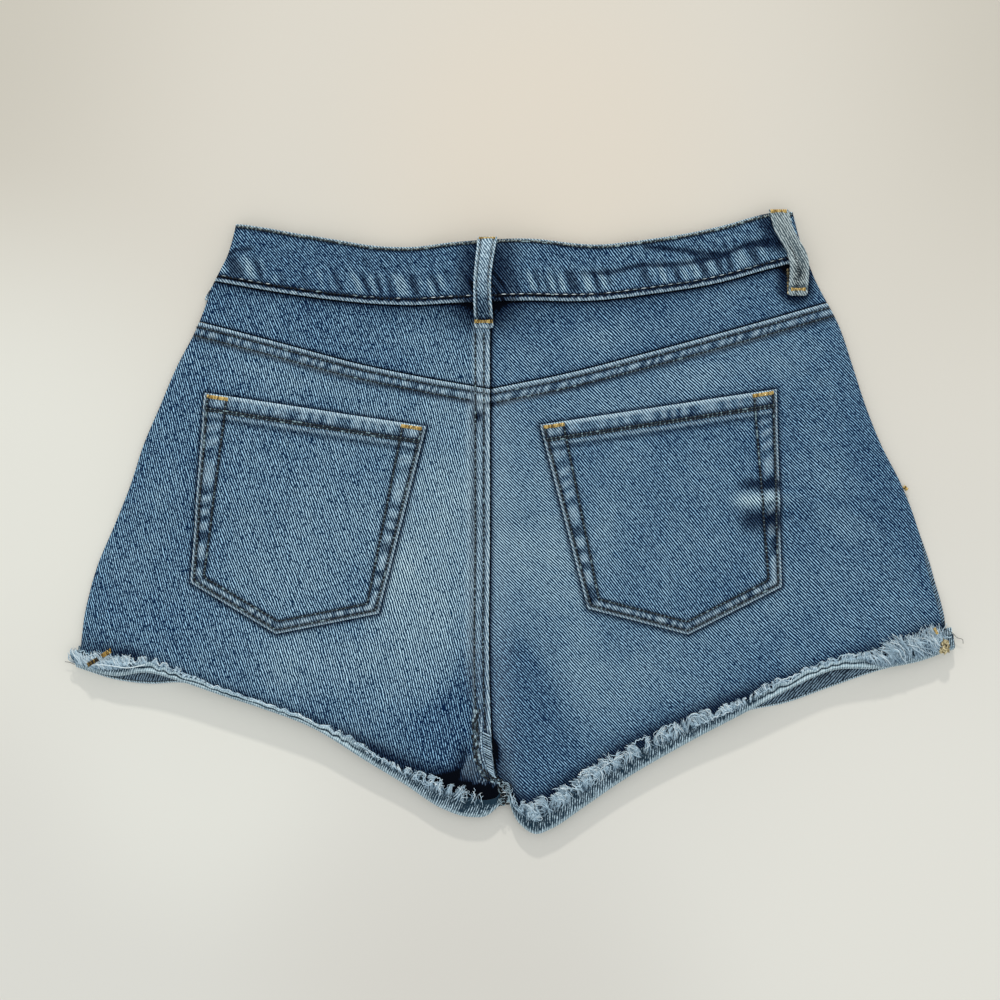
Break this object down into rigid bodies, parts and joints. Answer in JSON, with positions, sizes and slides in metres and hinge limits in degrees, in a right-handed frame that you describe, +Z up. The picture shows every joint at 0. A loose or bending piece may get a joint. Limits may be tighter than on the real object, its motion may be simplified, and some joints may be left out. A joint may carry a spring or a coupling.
{
  "type": "denim shorts",
  "caption": "High-rise denim shorts laid flat with the back side up: shaped yokes, five-sided patch pockets, belt loops and turned-up raw cuffs with frayed edges.",
  "frame": {"origin": "middle of the shorts' outline, on the surface that they lie on", "axes": "+Z up, away from the surface and out of the back side; +Y towards the waist; +X to the right as seen with the back side up"},
  "size_m": [0.549, 0.3888, 0.0167],
  "materials": {
    "denim": "washed mid-blue cotton twill",
    "denim_wrong_side": "pale wrong side of the twill",
    "frayed_thread": "loose cotton threads",
    "topstitch": "thick sewing thread",
    "button_metal": "aged brass"
  },
  "bodies": {
    "root": {"back_left": "denim", "back_right": "denim", "yoke_left": "denim", "yoke_right": "denim", "waistband_back": "denim", "waistband_front_left": "denim", "waistband_front_right": "denim", "back_pocket_left": "denim", "back_pocket_right": "denim", "belt_loop_centre": "denim", "belt_loop_right": "denim", "belt_loop_left": "denim", "belt_loop_front_left": "denim", "belt_loop_front_right": "denim", "front_left": "denim", "front_right": "denim", "front_pocket_facing_left": "denim", "front_pocket_facing_right": "denim", "fly_shield": "denim", "waist_button": "button_metal", "cuff_back_left": "denim_wrong_side", "cuff_back_right": "denim_wrong_side", "cuff_front_left": "denim_wrong_side", "cuff_front_right": "denim_wrong_side", "fray_back_left": "frayed_thread", "fray_back_right": "frayed_thread", "fray_front_left": "frayed_thread", "fray_front_right": "frayed_thread"}
  },
  "joints": []
}
